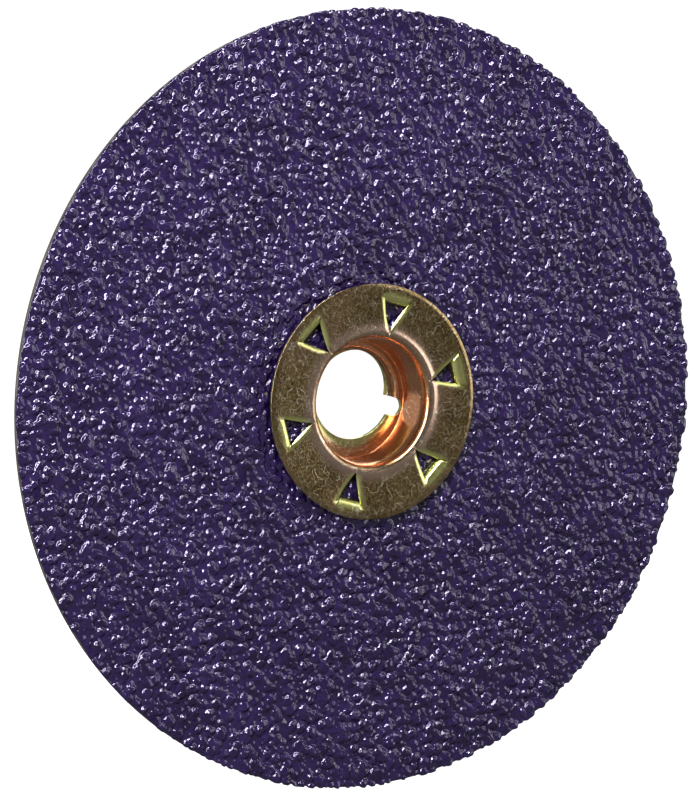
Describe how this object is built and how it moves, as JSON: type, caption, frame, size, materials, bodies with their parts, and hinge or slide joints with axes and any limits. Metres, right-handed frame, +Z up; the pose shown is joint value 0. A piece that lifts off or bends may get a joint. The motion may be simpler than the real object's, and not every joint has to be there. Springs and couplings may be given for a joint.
{
  "type": "resin fibre abrasive disc",
  "caption": "Coarse resin fibre abrasive disc with a stamped, tanged, screw-on metal hub for an angle grinder.",
  "frame": {"origin": "on the spindle axis, in the plane of the fibre backing's rear face, which bears on the backing pad", "axes": "+Y along the spindle axis towards the grinder, so the abrasive side faces -Y; +Z up and +X to the right as seen from the abrasive side"},
  "size_m": [0.127, 0.0096, 0.127],
  "materials": {
    "vulcanised_fibre": "matt dark grey-brown vulcanised fibre, die-cut edge",
    "make_coat_resin": "cured phenolic resin",
    "ceramic_grain": "coarse angular abrasive grain",
    "size_coat_resin": "glossy dark blue-purple resin",
    "yellow_zinc_plate": "pressed steel, yellow zinc-chromate plated, satin with fine scratches"
  },
  "bodies": {
    "root": {"fibre_backing": "vulcanised_fibre", "make_coat": "make_coat_resin", "abrasive_grain": "ceramic_grain", "size_coat": "size_coat_resin", "hub": "yellow_zinc_plate"}
  },
  "joints": []
}
